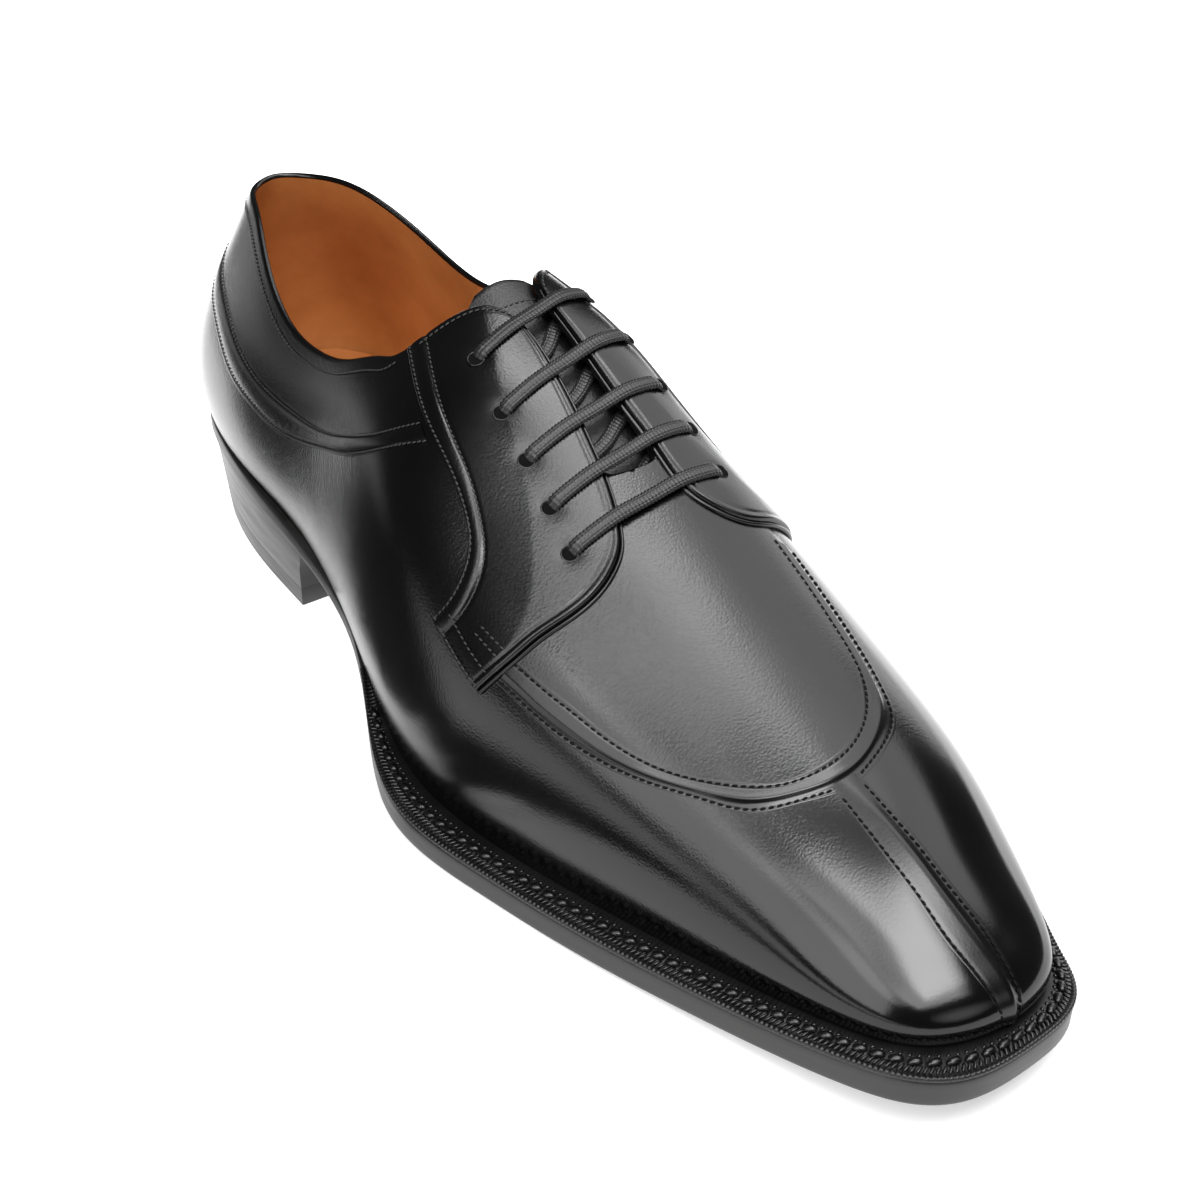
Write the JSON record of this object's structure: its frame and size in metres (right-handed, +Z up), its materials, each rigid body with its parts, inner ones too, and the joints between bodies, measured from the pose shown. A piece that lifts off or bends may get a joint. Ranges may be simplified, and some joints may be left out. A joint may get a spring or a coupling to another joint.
{
  "type": "dress shoe",
  "caption": "Right split-toe derby dress shoe in black calf: hollow open-laced upper with apron and toe seams, welted leather sole and stacked heel.",
  "frame": {"origin": "on the floor under the middle of the shoe's bounding box", "axes": "+Z up, +Y from toe to heel, +X to the medial side, -X to the lateral side"},
  "size_m": [0.1078, 0.305, 0.1028],
  "materials": {
    "calf": "polished black calf with a fine grain, glossier at the toe",
    "lining_leather": "smooth tan lining leather",
    "welt_leather": "black stitched welt strip",
    "sole_leather": "black satin edge",
    "heel_leather": "smooth black polished stack",
    "heel_rubber": "matt black",
    "lace_cord": "flat-round braided waxed cord"
  },
  "bodies": {
    "root": {"upper": "calf", "facing_lateral": "calf", "facing_medial": "calf", "apron_seam": "calf", "toe_seam": "calf", "collar_seam": "calf", "tongue": "calf", "insole": "lining_leather", "welt": "welt_leather", "outsole": "sole_leather", "heel_stack": "heel_leather", "heel_top_piece": "heel_rubber", "lace_bar_1": "lace_cord", "lace_bar_2": "lace_cord", "lace_bar_3": "lace_cord", "lace_bar_4": "lace_cord", "lace_bar_5": "lace_cord"}
  },
  "joints": []
}
